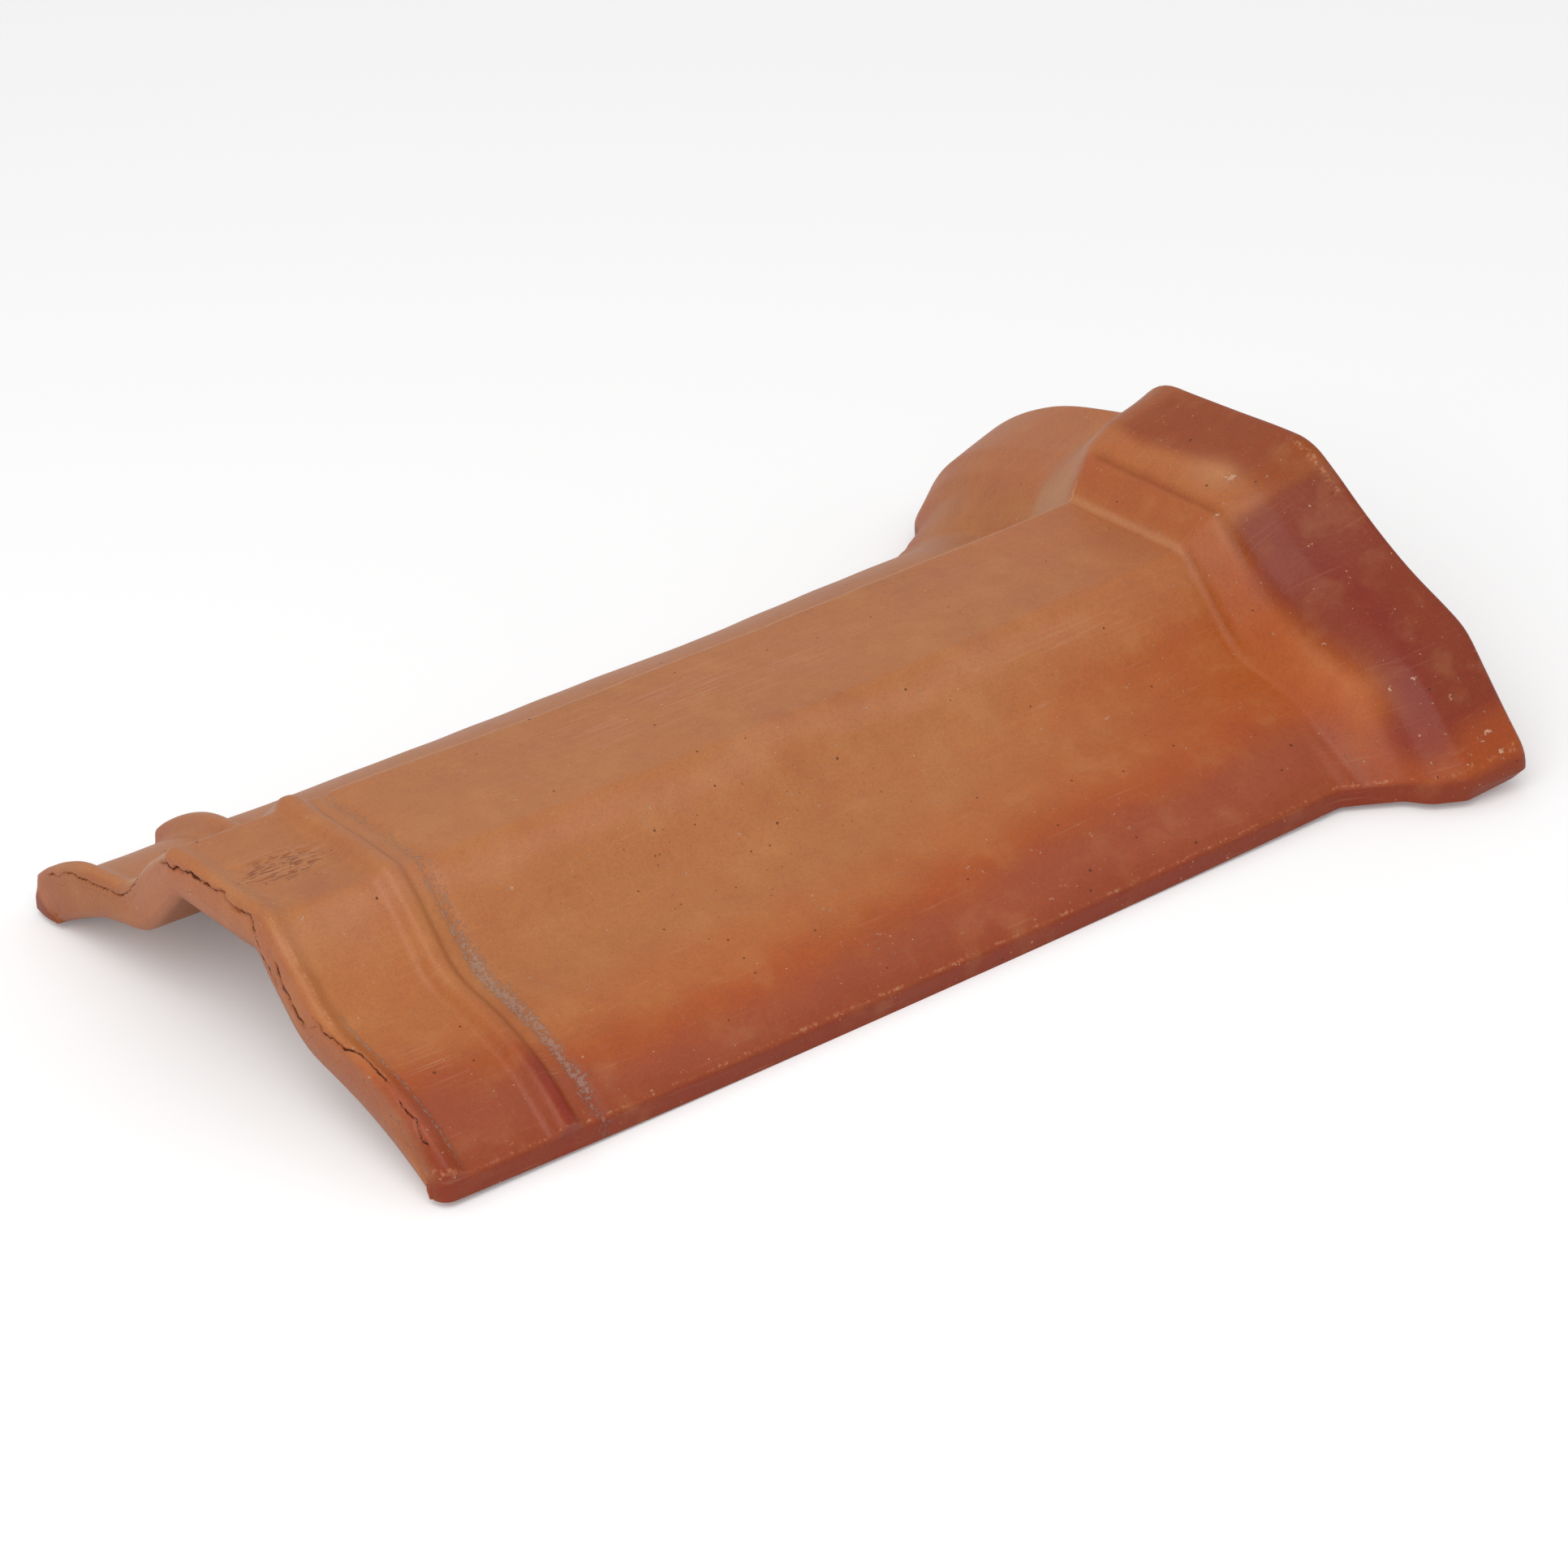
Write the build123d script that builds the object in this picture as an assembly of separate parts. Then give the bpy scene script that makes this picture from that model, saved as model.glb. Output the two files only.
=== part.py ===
from build123d import *
import os
from math import atan2, cos, degrees, radians, sin, tan

# Clay ridge tile: a bell-shaped arch with a spigot at one end and a flared collar at the other.
# Millimetres. X runs along the tile from the spigot to the collar, Y across it, Z is up,
# and the two long lower edges stand on Z = 0.

# lengths along the tile: relief near the spigot's end, then the collar at the far end
tile_length = 409.0
lip_width = 10.0
rib_start = 43.0
rib_width = 8.0
groove_width = 6.0
flare_run = 7.0
collar_length = 49.0
ramp_run = 11.0
swell_run = 13.0
socket_set_back = 3.0

# thickness of the clay
clay = 13.8

# cross section of the body: flat crown, steep shoulders, wings that droop to the feet
crown_half = 27.7
crown_height = 57.4
shoulder_out = 21.8
shoulder_drop = 23.9
edge_out = 114.2
edge_height = 6.3
crown_round = 4.5
knee_round = 18.0
body_fall = 17.0
body_droop = 42.0
body_keep = 18.0
body_turn = 22.0

# relief on the spigot
lip_rise = 4.2
lip_outer_round = 2.2
lip_inner_round = 3.2
rib_rise = 5.2
rib_round = 3.8
groove_depth = 1.2

# valley of the collar, measured from the body's section; a ramp with a low step climbs to it
step_rise = 1.4
flare = 3.2
valley_spread = 2.7
valley_rise = 13.0
valley_knee_spread = 6.5
valley_knee_rise = 14.0
valley_edge_spread = 11.3
valley_fall = 19.0
valley_droop = 54.0
valley_keep = 30.0
valley_turn = 30.0

# hood of the collar where it starts, and its rim at the tile's end
hood_spread = 8.3
hood_rise = 19.8
hood_knee_spread = 8.5
hood_knee_rise = 24.0
hood_edge_spread = 26.4
hood_edge_rise = 1.7
hood_round = 12.0
hood_fall = 20.0
hood_droop = 54.0
hood_keep = 38.0
hood_turn = 40.0
rim_spread = 1.5
rim_rise = 11.5
rim_knee_rise = 12.0
swell_steps = 3

# corners of the collar seen from above, and eased edges of the two ends
corner_run = 19.0
corner_inset = 1.2
corner_round = 4.5
spigot_inner_ease = 3.6
collar_outer_round = 3.5
collar_inner_ease = 1.8

# corner between the shoulder and the wing
knee_out = crown_half + shoulder_out
knee_height = crown_height - shoulder_drop

# places along the tile
groove_start = rib_start + rib_width
body_start = groove_start + groove_width
collar_start = tile_length - collar_length
flare_start = collar_start - flare_run
valley_at = collar_start + ramp_run
hood_at = valley_at + swell_run
socket_start = valley_at + socket_set_back
socket_full = hood_at + socket_set_back

# a section is its crown corner, knee and wing tip, the slopes of the wing in degrees where it
# leaves the knee and where it ends, how far it keeps each of them, and the crown corner's radius
body = (
    (crown_half, crown_height),
    (knee_out, knee_height),
    (edge_out, edge_height),
    body_fall, body_droop, body_keep, body_turn, crown_round,
)
valley = (
    (crown_half + valley_spread, crown_height + valley_rise),
    (knee_out + valley_knee_spread, knee_height + valley_knee_rise),
    (edge_out + valley_edge_spread, edge_height),
    valley_fall, valley_droop, valley_keep, valley_turn, crown_round,
)
hood = (
    (crown_half + hood_spread, crown_height + hood_rise),
    (knee_out + hood_knee_spread, knee_height + hood_knee_rise),
    (edge_out + hood_edge_spread, edge_height + hood_edge_rise),
    hood_fall, hood_droop, hood_keep, hood_turn, hood_round,
)
rim = (
    (hood[0][0] + rim_spread, hood[0][1] + rim_rise),
    (hood[1][0], hood[1][1] + rim_knee_rise),
    *hood[2:],
)


def rounded(before, at, after, radius):
    """Start, middle and end of the arc that rounds the corner `at` between two straight runs."""
    here = Vector(*at)
    back = (Vector(*before) - here).normalized()
    on = (Vector(*after) - here).normalized()
    half = radians(back.get_angle(on)) / 2
    reach = radius / tan(half)
    middle = here + (back + on).normalized() * (radius / sin(half) - radius)
    return [(0, v.X, v.Y) for v in (here + back * reach, middle, here + on * reach)]


def moved(point, slope_in, slope_out, rise):
    """Corner of an outline moved out by `rise` square to both runs that meet in it."""
    reach = rise / cos(radians((slope_out - slope_in) / 2))
    middle = radians((slope_in + slope_out) / 2)
    return point[0] + reach * sin(middle), point[1] + reach * cos(middle)


def half_outline(section, rise, tip, rounds):
    """Edges from the crown's middle to the wing tip, lying `rise` outside the section."""
    crown, knee, _, fall, droop, keep, turn, _ = section
    shoulder = degrees(atan2(crown[1] - knee[1], knee[0] - crown[0]))
    crown = moved(crown, 0, shoulder, rise)
    knee = moved(knee, shoulder, fall, rise)
    down = (cos(radians(fall)), -sin(radians(fall)))
    top = (0, crown[1])
    a, b, c = rounded(top, crown, knee, rounds[0])
    d, e, f = rounded(crown, knee, (knee[0] + down[0], knee[1] + down[1]), rounds[1])
    leave = (0, f[1] + keep * down[0], f[2] + keep * down[1])
    arrive = (0, tip[0] - turn * cos(radians(droop)), tip[1] + turn * sin(radians(droop)))
    return [
        Line((0, 0, crown[1]), a),
        ThreePointArc(a, b, c),
        Line(c, d),
        ThreePointArc(d, e, f),
        Bezier(f, leave, arrive, (0, *tip)),
    ]


def closed(x, half, tip, base):
    """Face of the section at x: the half outline and its mirror image, closed by a line at base."""
    right = half + [Line((0, *tip), (0, tip[0], base))]
    left = [mirror(edge, about=Plane.XZ) for edge in right]
    floor = Line((0, -tip[0], base), (0, tip[0], base))
    return Pos(x, 0, 0) * make_face(right + left + [floor])


def outer(x, section, rise=0.0, spread=0.0):
    """Outer section at x, raised by `rise`, with its feet spread sideways by `spread`."""
    edge, droop = section[2], radians(section[4])
    tip = (edge[0] + spread, edge[1] + rise * cos(droop))
    return closed(x, half_outline(section, rise, tip, (section[-1], knee_round)), tip, 0)


def inner(x, section, spread=0.0):
    """Section of the hollow, one clay thickness further in and carried below the feet."""
    edge, droop = section[2], radians(section[4])
    tip = (edge[0] + spread - clay * sin(droop), edge[1] - clay * cos(droop))
    rounds = (section[-1] / 2, knee_round + clay)
    return closed(x, half_outline(section, -clay, tip, rounds), tip, -clay)


def between(first, last, share):
    """Section that lies the given share of the way from the first section to the last."""
    points = [
        tuple(a + (b - a) * share for a, b in zip(*pair)) for pair in zip(first[:3], last[:3])
    ]
    slopes = [a + (b - a) * share for a, b in zip(first[3:], last[3:])]
    return (*points, *slopes)


def swell(make, start, end):
    """Rounded rise from the valley section to the hood section: quick at first, then level."""
    steps = [step / swell_steps for step in range(swell_steps + 1)]
    return loft(
        [make(start + (end - start) * s, between(valley, hood, sin(radians(90 * s)))) for s in steps],
        ruled=True,
    )


def bar(face, run):
    return extrude(face, amount=run, dir=(1, 0, 0))


def arch_edges(solid, x):
    """Edges of the outer surface, without those of the two feet, that lie in the plane at x."""
    flat = solid.edges().filter_by(lambda e: e.bounding_box().size.X < 0.01)
    return [e for e in flat if abs(e.center().X - x) < 0.01 and e.center().Z > hood[2][1]]


def on_hollow(edge, face):
    """True where the edge lies on the outline of the given section of the hollow."""
    return face.face().outer_wire().distance_to(edge @ 0.5) < 0.01


# solid arch: spigot, groove and plain body
tile = bar(outer(0, body), groove_start)
tile += bar(outer(groove_start, body, -groove_depth), groove_width)
tile += bar(outer(body_start, body), flare_start - body_start)

# lip at the spigot's end and the rounded rib that stops the next tile's collar
lip = bar(outer(0, body, lip_rise), lip_width)
lip = fillet(arch_edges(lip, lip_width), lip_inner_round)
rib = bar(outer(rib_start, body, rib_rise), rib_width)
rib = fillet(arch_edges(rib, rib_start) + arch_edges(rib, groove_start), rib_round)
tile += lip + rib

# the feet flare first, then a ramp climbs to the valley and the hood swells beyond it
tile += loft([outer(flare_start, body), outer(collar_start, body, 0, flare)], ruled=True)
tile += loft([outer(collar_start, body, step_rise, flare), outer(valley_at, valley)], ruled=True)
tile += swell(outer, valley_at, hood_at)
tile += loft([outer(hood_at, hood), outer(tile_length, rim)], ruled=True)

# outline from above: the collar draws in a little towards its end and has small round corners
side = hood[2][0]
corner_start = tile_length - corner_run
corner_out = side - corner_inset
top_side = [
    Line((0, side), (corner_start, side)),
    Line((corner_start, side), (tile_length, corner_out)),
]
low_side = [mirror(edge, about=Plane.XZ) for edge in top_side]
ends = [
    Line((0, -side), (0, side)),
    Line((tile_length, -corner_out), (tile_length, corner_out)),
]
plan = make_face(top_side + low_side + ends)
plan = fillet(plan.vertices().group_by(Axis.X)[-1], corner_round)
tile &= extrude(plan, amount=2 * rim[0][1], both=True)

# the outer edges of both ends are rounded over
tile = fillet(arch_edges(tile, 0), lip_outer_round)
tile = fillet(arch_edges(tile, tile_length), collar_outer_round)

# hollow underneath, which opens into the socket of the collar
tile -= bar(inner(-clay, body), flare_start + clay)
tile -= loft([inner(flare_start, body), inner(collar_start, body, flare)], ruled=True)
tile -= loft([inner(collar_start, body, flare), inner(socket_start, valley)], ruled=True)
tile -= swell(inner, socket_start, socket_full)
tile -= loft([inner(socket_full, hood), inner(tile_length, rim)], ruled=True)

# the inner edges of both ends
spigot_mouth = [e for e in arch_edges(tile, 0) if on_hollow(e, inner(0, body))]
tile = chamfer(spigot_mouth, spigot_inner_ease)
collar_mouth = [e for e in arch_edges(tile, tile_length) if on_hollow(e, inner(tile_length, rim))]
tile = chamfer(collar_mouth, collar_inner_ease)

os.makedirs("parts", exist_ok=True)
tile = Pos(-tile_length / 2, 0, 0) * tile
export_step(tile.solids()[0], "parts/ridge_tile.step")
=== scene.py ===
import math

import bpy
import numpy as np
from mathutils import Matrix, Vector


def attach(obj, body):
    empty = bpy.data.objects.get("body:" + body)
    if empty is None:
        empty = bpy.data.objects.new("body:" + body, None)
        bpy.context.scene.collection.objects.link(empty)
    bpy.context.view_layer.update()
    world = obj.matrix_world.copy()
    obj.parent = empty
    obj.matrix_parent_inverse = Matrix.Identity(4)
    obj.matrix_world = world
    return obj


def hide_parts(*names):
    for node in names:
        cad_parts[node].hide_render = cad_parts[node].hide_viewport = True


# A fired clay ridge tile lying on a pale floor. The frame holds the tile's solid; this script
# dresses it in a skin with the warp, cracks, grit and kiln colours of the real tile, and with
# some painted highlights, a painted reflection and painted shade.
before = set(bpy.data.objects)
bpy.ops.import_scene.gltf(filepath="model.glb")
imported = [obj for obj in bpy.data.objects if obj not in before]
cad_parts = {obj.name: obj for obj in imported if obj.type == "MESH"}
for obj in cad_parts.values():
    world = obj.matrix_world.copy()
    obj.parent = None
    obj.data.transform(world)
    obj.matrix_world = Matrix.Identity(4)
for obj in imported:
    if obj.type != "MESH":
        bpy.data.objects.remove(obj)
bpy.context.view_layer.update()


# Clay skin: one closed surface for the whole tile, which is one piece of unglazed clay, pressed
# in a mould, dried and fired. Rows run along it (x, from the spigot's end) and columns across it.
# The section is a flat crown, a shoulder, a drooping wing and the wing's edge face. All in mm.
TILE = 409.0
CLAY = 13.8

# places along the tile: the lip's width, the rib and the groove behind it on the spigot, then
# where the collar's rows start, the low step of its ramp, its valley and its hood
LIP_WIDTH, RIB_AT, GROOVE_AT = 6.4, 44.8, 57.5
COLLAR_FROM, STEP_AT, VALLEY_AT, HOOD_AT = 346, 360, 371, 384

# how far lip and rib stand up and the groove dips, the radii of the rounded ends and of the
# hollow's mouth, and the radii of the corners seen from above
LIP_RISE, RIB_RISE, GROOVE_DIP = 2.4, 3.5, 0.9
LIP_FRONT, RIM_FRONT, MOUTH_EASE = 4.8, 2.6, 2.6
NEAR_CORNER, FAR_CORNER, COLLAR_CORNER = 5.0, 2.5, 5.0

# the kiln's warp: the ends rise by the bow over its run from the lowest place, which lies this
# far from the tile's middle, and the collar's crown leans down towards the far side
BOW, BOW_RUN, BOW_AT = 2.366, 180, -24.5
LEAN = 0.05

# the hollow's collar lies this far behind the outer one; its rows are this many outer rows apart,
# and each end face has so many rows
INNER_LAG = 3.0
INNER_STEP = 4
END_ROWS = 12

# sizes of each half of the section at some places along it: half width and height of the crown,
# place of the knee between shoulder and wing, place of the wing's edge, the wing's slope in
# degrees at the knee (fall) and at the edge (droop), how far it keeps each (keep, turn), how far
# the rounded corners reach, the width of the foot and how far it is drawn in under the edge.
# They were measured in the photograph; many at the body, valley and rim are rounded from a
# least-squares fit of this section to a few points on the tile's outline.
PLACES = [0, 353, STEP_AT - 0.2, STEP_AT + 0.2, VALLEY_AT, 375.3, HOOD_AT, TILE]
NEAR = {
    "crown_half": [27.5, 27.5, 27.5, 27.9, 32.5, 34.5, 37.0, 39.0],
    "crown_height": [57.4, 57.4, 57.4, 58.8, 69.9, 73.4, 77.2, 84.7],
    "crown_reach": [2.0, 2.0, 2.0, 2.0, 2.5, 4.0, 6.0, 8.0],
    "knee_out": [52.6, 52.6, 52.6, 53.0, 58.9, 60.5, 66.0, 74.0],
    "knee_height": [30.5, 30.5, 30.5, 31.6, 45.9, 50.5, 55.5, 61.1],
    "knee_reach": [9.8, 9.8, 9.8, 9.8, 6.2, 8.0, 12.0, 17.5],
    "edge_out": [114.2, 114.2, 117.4, 117.6, 125.5, 133.5, 141.0, 143.6],
    "edge_height": [6.3, 6.3, 6.3, 6.3, 6.3, 7.0, 8.2, 9.8],
    "fall": [10.7, 10.7, 10.7, 11.0, 16.4, 18.0, 20.0, 22.4],
    "droop": [36.8, 36.8, 38.0, 38.5, 54.0, 54.0, 52.0, 47.4],
    "keep": [18.5, 18.5, 18.5, 19.0, 33.5, 34.0, 35.0, 36.0],
    "turn": [27.7, 27.7, 28.0, 28.0, 30.0, 34.0, 38.0, 43.8],
    "arris": [1.4, 1.4, 1.4, 1.4, 1.6, 2.2, 3.6, 5.6],
    "foot_width": [14.2, 14.2, 14.2, 14.2, 13.0, 12.0, 10.0, 9.5],
    "undercut": [0.0, 0.0, 0.0, 0.0, 0.0, 0.3, 1.5, 4.5],
}

# the far side of the collar slumped otherwise in the kiln: its shoulder is deeper, its wing fuller
FAR = {
    "crown_half": [27.5, 27.5, 27.5, 27.9, 31.5, 33.0, 35.0, 37.5],
    "crown_reach": [2.0, 2.0, 2.0, 2.0, 2.5, 4.0, 6.0, 10.0],
    "knee_out": [52.6, 52.6, 52.6, 53.0, 57.0, 55.5, 53.5, 51.0],
    "knee_height": [30.5, 30.5, 30.5, 31.6, 46.0, 51.0, 57.0, 67.4],
    "knee_reach": [9.8, 9.8, 9.8, 9.8, 6.2, 6.0, 5.8, 5.6],
    "edge_out": [114.2, 114.2, 117.0, 117.2, 124.0, 131.5, 137.4, 139.6],
    "fall": [10.7, 10.7, 10.7, 11.0, 16.4, 17.0, 16.0, 14.1],
    "droop": [36.8, 36.8, 38.0, 38.5, 54.0, 60.0, 66.0, 72.0],
    "keep": [18.5, 18.5, 18.5, 19.0, 33.5, 33.5, 33.7, 33.9],
    "turn": [27.7, 27.7, 28.0, 28.0, 30.0, 30.0, 30.0, 30.0],
}


def smooth(low, high, value):
    """0 below low, 1 above high and an S-shaped rise between them."""
    t = np.clip((value - low) / (high - low), 0, 1)
    return t * t * (3 - 2 * t)


def knotted(x, knots, values, blur):
    """Straight runs through the pairs of knot and value, with corners softened over the blur."""
    shifts = np.linspace(-blur, blur, 9)
    return np.mean([np.interp(x + shift, knots, values) for shift in shifts], axis=0)


def ripple(x, y, wave, seed):
    """Smooth unevenness between about -1 and 1: five sine waves of random heading and phase."""
    pick = np.random.default_rng(seed)
    total = 0
    for _ in range(5):
        heading = pick.uniform(0, math.tau)
        length = wave * pick.uniform(0.7, 1.6)
        along = x * math.cos(heading) + y * math.sin(heading)
        total = total + np.sin(math.tau * along / length + pick.uniform(0, math.tau))
    return total / 2.6


def section(x, s):
    """Sizes of the section at x, softened a little so that no crease is knife sharp."""
    near = {name: knotted(x, PLACES, values, 0.9) for name, values in NEAR.items()}
    far = {name: knotted(x, PLACES, values, 0.9) for name, values in FAR.items()}
    return {name: np.where(s < 0, value, far.get(name, value)) for name, value in near.items()}


def drawn_in(distance, radius):
    """How far a corner of the plan, rounded with a quarter circle, draws the edge in at a
    distance from the tile's end."""
    rest = np.clip(radius - distance, 0, radius)
    return radius - np.sqrt(radius ** 2 - rest ** 2)


def run(a, b, count):
    """Evenly spaced shares of a straight run, without its end."""
    return a + (b - a) * np.linspace(0, 1, count, endpoint=False)


def curve(points, share):
    """Bezier curve through complex control points, which may be whole arrays."""
    degree = len(points) - 1
    return sum(
        math.comb(degree, k) * (1 - share) ** (degree - k) * share ** k * point
        for k, point in enumerate(points)
    )


def half_outline(size, share):
    """Outer outline from the crown's middle to the foot as complex numbers, y + z*i.
    Share counts the pieces in turn: crown, corner, shoulder, knee, wing, arris, edge face."""
    crown = size["crown_half"] + 1j * size["crown_height"]
    knee = size["knee_out"] + 1j * size["knee_height"]
    tip = size["edge_out"] + 1j * size["edge_height"]
    slope = (knee - crown) / abs(knee - crown)
    fall = np.exp(-1j * np.radians(size["fall"]))
    droop = np.exp(-1j * np.radians(size["droop"]))
    leave = knee + size["knee_reach"] * fall
    brink = tip - size["arris"] * droop
    pieces = [
        (1j * size["crown_height"], crown - size["crown_reach"]),
        (crown - size["crown_reach"], crown, crown + size["crown_reach"] * slope),
        (crown + size["crown_reach"] * slope, knee - size["knee_reach"] * slope),
        (knee - size["knee_reach"] * slope, knee, leave),
        (leave, leave + size["keep"] * fall, brink - size["turn"] * droop, brink),
        (brink, tip, tip - 1j * size["arris"]),
        (tip - 1j * size["arris"], tip.real - size["undercut"] + 0j),
    ]
    return pick_pieces(pieces, share)


def inner_outline(size, share):
    """Outline of the hollow, from the middle to the inner side of the foot, in the same pieces:
    its corners lie shares of the clay's thickness inside the outer ones."""
    crown = size["crown_half"] - 0.44 * CLAY + 1j * (size["crown_height"] - CLAY)
    knee = size["knee_out"] - 0.65 * CLAY + 1j * (size["knee_height"] - 0.72 * CLAY)
    foot = size["edge_out"] - size["foot_width"] + 0j
    slope = (knee - crown) / abs(knee - crown)
    fall = np.exp(-1j * np.radians(size["fall"]))
    reach = size["knee_reach"]
    leave = knee + reach * fall
    up = np.exp(1j * np.radians(152))
    pieces = [
        (1j * crown.imag, crown - 1.5),
        (crown - 1.5, crown, crown + 1.5 * slope),
        (crown + 1.5 * slope, knee - reach * slope),
        (knee - reach * slope, knee, leave),
        (leave, leave + size["keep"] * fall, foot + size["turn"] * up, foot + 1.6 * up),
        (foot + 1.6 * up, foot + 0.6 * up),
        (foot + 0.6 * up, foot),
    ]
    return pick_pieces(pieces, share)


def pick_pieces(pieces, share):
    """Evaluates each column on the piece that it belongs to, which is the whole part of its
    share; the rest of the share is how far along the piece it lies."""
    result = np.zeros(np.broadcast(pieces[0][1], share).shape, complex)
    for number, points in enumerate(pieces):
        mine = (np.floor(share) == number) | ((number == len(pieces) - 1) & (share == len(pieces)))
        there = np.broadcast_to(mine, result.shape)
        value = curve([np.broadcast_to(p, result.shape) for p in points], share - number)
        result[there] = np.broadcast_to(value, result.shape)[there]
    return result


# columns on each piece of half a section: crown, corner, shoulder, knee, wing, arris, edge face
COLUMNS = [22, 6, 15, 8, 60, 5, 5]
half_share = np.concatenate([run(k, k + 1, count) for k, count in enumerate(COLUMNS)] + [[7.0]])
share = np.concatenate([half_share[:0:-1], half_share])
side = np.concatenate([-np.ones(len(half_share) - 1), np.ones(len(half_share))])

# distance across the surface from the crown's middle, measured on the body; the near side is -
body_half = half_outline({name: np.float64(v[0]) for name, v in NEAR.items()}, half_share)
reach_out = np.concatenate([[0], np.cumsum(abs(np.diff(body_half)))])
across = np.concatenate([-reach_out[:0:-1], reach_out])

# runs of rows, each with its start, its end and its count: lip, spigot, rib, body, collar and rim
ROW_RUNS = [
    (LIP_FRONT, 14, 20), (14, 38, 18), (38, 64, 38), (64, COLLAR_FROM, 92), (COLLAR_FROM, 405, 54),
    (405, TILE, 10),
]
round_end = LIP_FRONT * (1 - np.cos(run(0, math.pi / 2, 20)))
rows = np.concatenate([round_end] + [run(*row_run) for row_run in ROW_RUNS] + [[TILE]])
X, S = np.meshgrid(rows, across, indexing="ij")
OUT = abs(S)


def collar_place(x, out):
    """Place on the plain collar, stretched in straight runs so that step and valley drift a
    little towards the spigot on the wing."""
    step = STEP_AT - 3.0 * smooth(80, 135, out)
    valley = VALLEY_AT - 2.0 * smooth(100, 140, out)
    ours = [0 * out, COLLAR_FROM + 0 * out, step, valley, HOOD_AT + 0 * out, TILE + 0 * out]
    plain = [0, COLLAR_FROM, STEP_AT, VALLEY_AT, HOOD_AT, TILE]
    place = np.zeros(np.broadcast(x, out).shape)
    for a, b, c, d in zip(ours[:-1], ours[1:], plain[:-1], plain[1:]):
        inside = (x >= a) & (x <= b)
        place = np.where(inside, c + (d - c) * (x - a) / np.maximum(b - a, 1e-6), place)
    return place


def both_sides(outline):
    """Turns the columns of the near side over to negative y."""
    return side * outline.real + 1j * outline.imag


def relief(x, s):
    """How far the surface stands off the plain section: the lip is a step that fades over some
    mm, the rib a rounded bar that is flatter on the crown, the groove a narrow dip, the ends
    quarter circles, and the rest is unevenness."""
    out = abs(s)
    wing = smooth(28, 60, out)
    wobble = 0.6 * ripple(s, 0 * s, 34, 3) + 0.3 * ripple(s, 0 * s, 11, 4)
    width = LIP_WIDTH + 1.8 * smooth(60, 115, out) + wobble
    lip_rise = LIP_RISE + 1.8 * wing - 1.3 * np.exp(-((s - 31) / 7) ** 2)
    lip = lip_rise * (1 - smooth(width - 5.2, width + 3.4, x))
    crest = RIB_AT + 3.6 * smooth(10, 90, s) + 0.5 * ripple(s, 0 * s, 40, 5)
    across_rib = (x - crest) / np.where(x < crest, 3.8, 4.8)
    rib = (RIB_RISE + wing * np.where(s > 0, 2.4, 1.1)) * np.exp(-abs(across_rib) ** 3.0)
    groove = -GROOVE_DIP * np.exp(-((x - GROOVE_AT) / 2.6) ** 2)
    low = np.clip(LIP_FRONT - x, 0, LIP_FRONT)
    low_end = LIP_FRONT - np.sqrt(LIP_FRONT ** 2 - low ** 2)
    high = np.clip(x - (TILE - RIM_FRONT), 0, RIM_FRONT)
    high_end = RIM_FRONT - np.sqrt(RIM_FRONT ** 2 - high ** 2)
    uneven = 0.35 * ripple(x, s, 90, 7) + 0.1 * ripple(x, s, 26, 8)
    return lip + rib + groove - low_end - high_end + uneven


# outer surface: the plain section with its corners drawn in, then moved out by the relief
size = section(collar_place(X, OUT), S)
size["edge_out"] = size["edge_out"] - drawn_in(TILE - X, COLLAR_CORNER)
size["edge_out"] -= np.where(S < 0, drawn_in(X, NEAR_CORNER), drawn_in(X, FAR_CORNER))
size["edge_out"] += 1.8 * (S > 0) * (1 - smooth(2, 13, X))
size["arris"] = size["arris"] + 2.4 * (1 - smooth(0, 9, X))
outer = both_sides(half_outline(size, share))
tangent = np.gradient(outer, axis=1)
blend = 1 - smooth(4.9, 5.6, share)
outer = outer + 1j * tangent / abs(tangent) * relief(X, S) * blend

# hollow: fewer rows, the collar's shape a little behind, and its mouths eased
inner_rows = rows[::INNER_STEP]
IX, IS = np.meshgrid(inner_rows, across, indexing="ij")
inner_size = section(collar_place(IX - INNER_LAG, abs(IS)), IS)
inner_size["foot_width"] = inner_size["foot_width"] - np.where(IS < 0, 8, 1) * (1 - smooth(0, 16, IX))
inner = both_sides(inner_outline(inner_size, share))
inner_tangent = np.gradient(inner, axis=1)
from_end = np.clip(MOUTH_EASE - np.minimum(IX, TILE - IX), 0, MOUTH_EASE)
ease = (MOUTH_EASE - np.sqrt(MOUTH_EASE ** 2 - from_end ** 2)) * (1 - smooth(4.9, 5.3, share))
inner = inner + 1j * inner_tangent / abs(inner_tangent) * ease

# end faces: straight from the outer outline to the hollow's, bulging a little
fill = np.linspace(0, 1, END_ROWS + 2)[1:-1, None]
bulge = 1.2 * np.sin(math.pi * fill)


def fired(x, y, z):
    """Place in metres after the kiln: height grows with the square of the distance from the
    bow's lowest place, and the crown of the collar leans."""
    along = x - TILE / 2
    lift = BOW * ((along - BOW_AT) / BOW_RUN) ** 2
    lean = -LEAN * y * smooth(376, 405, x) * (1 - smooth(38, 95, abs(y)))
    return np.stack([along, y, z + lift + lean], axis=-1) / 1000


def ring(x, outline):
    """Places a whole layer of outlines, each y + z*i, at its places along the tile."""
    return fired(x, outline.real, outline.imag)


spigot_end = inner[0] + (outer[0] - inner[0]) * fill
collar_end = outer[-1] + (inner[-1] - outer[-1]) * fill
layers = [
    ring(X, outer),
    ring(TILE + 0 * bulge + 0 * collar_end.real, collar_end),
    ring(IX[::-1], inner[::-1]),
    ring(0 * spigot_end.real - 0.5 * bulge, spigot_end),
]
grid = np.concatenate(layers)
count, width = grid.shape[:2]

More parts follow.
